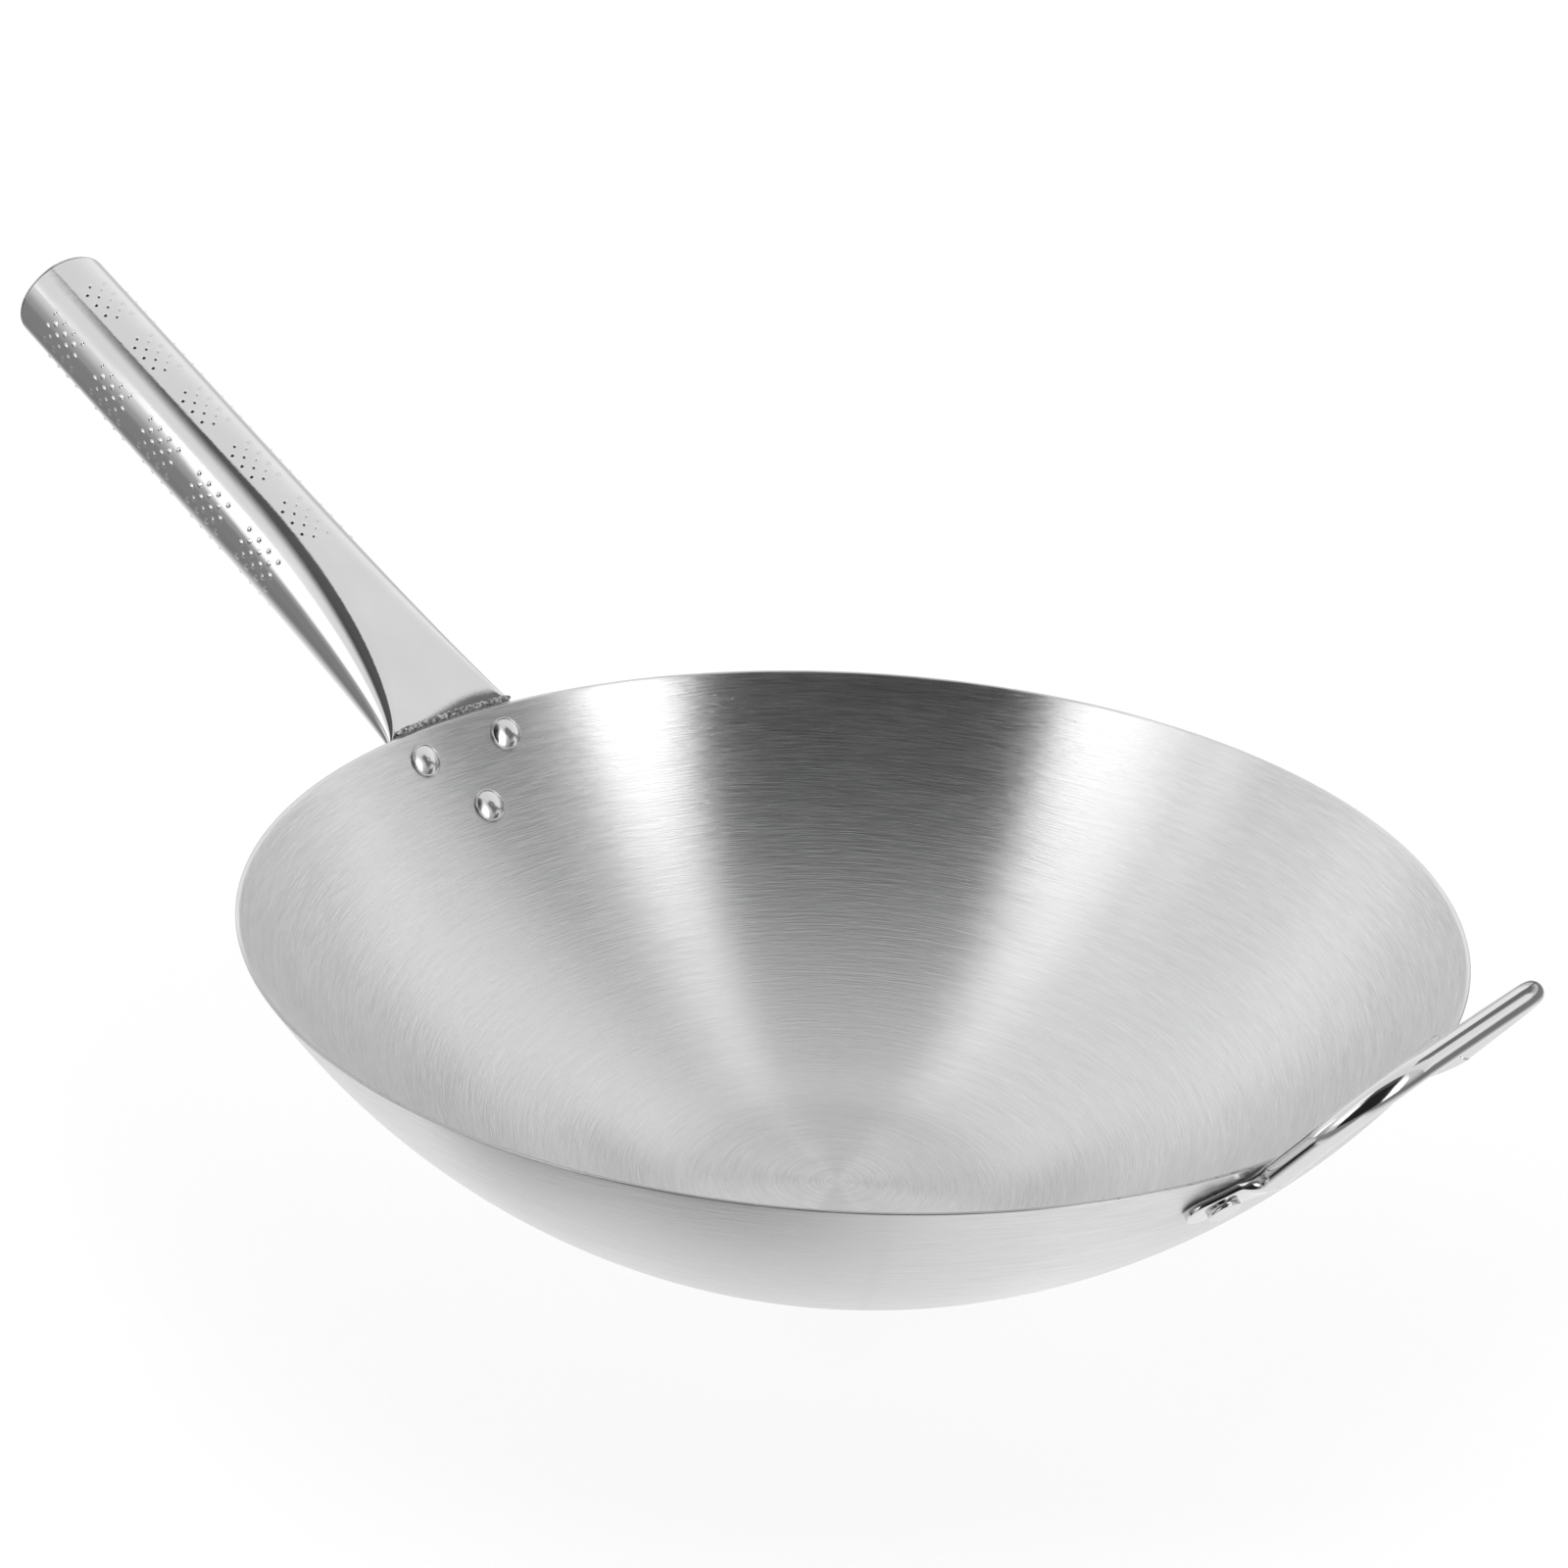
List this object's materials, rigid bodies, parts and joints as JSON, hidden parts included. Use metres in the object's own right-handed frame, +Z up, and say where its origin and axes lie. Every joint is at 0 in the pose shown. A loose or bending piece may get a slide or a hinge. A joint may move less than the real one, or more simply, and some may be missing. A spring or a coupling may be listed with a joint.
{
  "type": "wok",
  "caption": "Stainless steel wok with a small flat base, a long tube handle riveted and welded at the rim, and a bent-rod helper handle opposite.",
  "frame": {"origin": "centre of the flat base, on the surface that the wok stands on", "axes": "+X out along the long handle, +Z up out of the bowl, +Y completes a right-handed frame"},
  "size_m": [0.5379, 0.32, 0.1891],
  "materials": {
    "bowl_steel": "satin stainless steel, brushed in circles about the bowl's axis",
    "handle_steel": "bright polished stainless steel, not plated",
    "helper_steel": "bright polished stainless steel rod, not plated",
    "rivet_steel": "polished stainless steel rivets",
    "weld_steel": "ragged grey weld metal"
  },
  "bodies": {
    "root": {"wok_bowl": "bowl_steel", "main_handle": "handle_steel", "handle_end_cap": "handle_steel", "handle_weld_bead": "weld_steel", "handle_rivet_left": "rivet_steel", "handle_rivet_right": "rivet_steel", "handle_rivet_low": "rivet_steel", "helper_handle": "helper_steel", "helper_rivet_left": "rivet_steel", "helper_rivet_right": "rivet_steel"}
  },
  "joints": []
}
